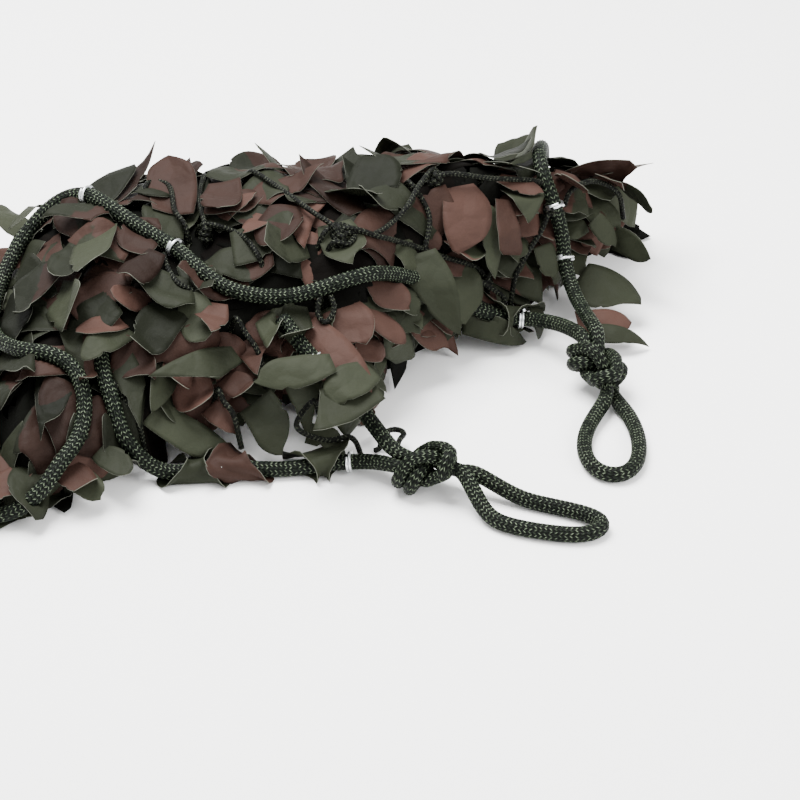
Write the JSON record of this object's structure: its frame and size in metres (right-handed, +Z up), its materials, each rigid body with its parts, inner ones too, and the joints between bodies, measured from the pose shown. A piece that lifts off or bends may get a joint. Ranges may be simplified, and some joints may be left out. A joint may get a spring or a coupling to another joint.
{
  "type": "camouflage net",
  "caption": "Camouflage net bunched into a heap: leaf-cut cloth on a cord net, edged with braided rope that ends in knotted corner loops.",
  "frame": {"origin": "on the floor, under the middle of the part's box", "axes": "+Z up, +X along the heap, -Y to the side where the corner loops lie"},
  "size_m": [0.3761, 0.3182, 0.0983],
  "materials": {
    "leaf_cut_cloth": "matt coated weave printed olive on one part and brown on another, cut into leaves",
    "netting_cord": "matt twisted cord, near black green",
    "braided_rope": "dark green braid with pale green flecks",
    "galvanised_steel": "bright zinc"
  },
  "bodies": {
    "root": {"garnish": "leaf_cut_cloth", "netting": "netting_cord", "border_rope_back": "braided_rope", "border_rope_top": "braided_rope", "border_rope_front": "braided_rope", "border_rope_short": "braided_rope", "corner_loop_front": "braided_rope", "corner_loop_side": "braided_rope", "ring_1": "galvanised_steel", "ring_2": "galvanised_steel", "ring_3": "galvanised_steel", "ring_4": "galvanised_steel", "ring_5": "galvanised_steel", "ring_6": "galvanised_steel", "ring_7": "galvanised_steel", "ring_8": "galvanised_steel", "ring_9": "galvanised_steel", "ring_10": "galvanised_steel"}
  },
  "joints": []
}
